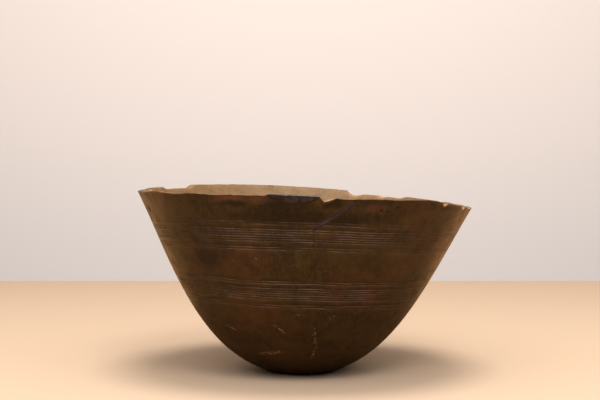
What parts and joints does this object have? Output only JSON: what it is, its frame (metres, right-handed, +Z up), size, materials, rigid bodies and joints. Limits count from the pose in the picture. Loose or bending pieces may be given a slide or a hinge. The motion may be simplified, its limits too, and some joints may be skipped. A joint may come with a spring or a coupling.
{
  "type": "carved wooden bowl",
  "caption": "Deep hand-carved round wooden bowl with flared sides, a small flat foot, incised bands and an old resin repair at the worn rim.",
  "frame": {"origin": "centre of the flat foot, on the surface the bowl stands on", "axes": "+Z up, square to the foot; the carved axis leans 2.9 degrees toward +X; -Y is the side with the repaired rim"},
  "size_m": [0.1644, 0.1682, 0.0922],
  "materials": {
    "dark_wood": "satin, hand polished with age",
    "shard_wood": "satin, smoother than the wall beside it",
    "joint_resin": "dull dark resin",
    "chip_resin": "glossy black resin"
  },
  "bodies": {
    "root": {"bowl_body": "dark_wood", "rim_shard": "shard_wood", "shard_joint_resin": "joint_resin", "rim_chip_resin": "chip_resin"}
  },
  "joints": []
}
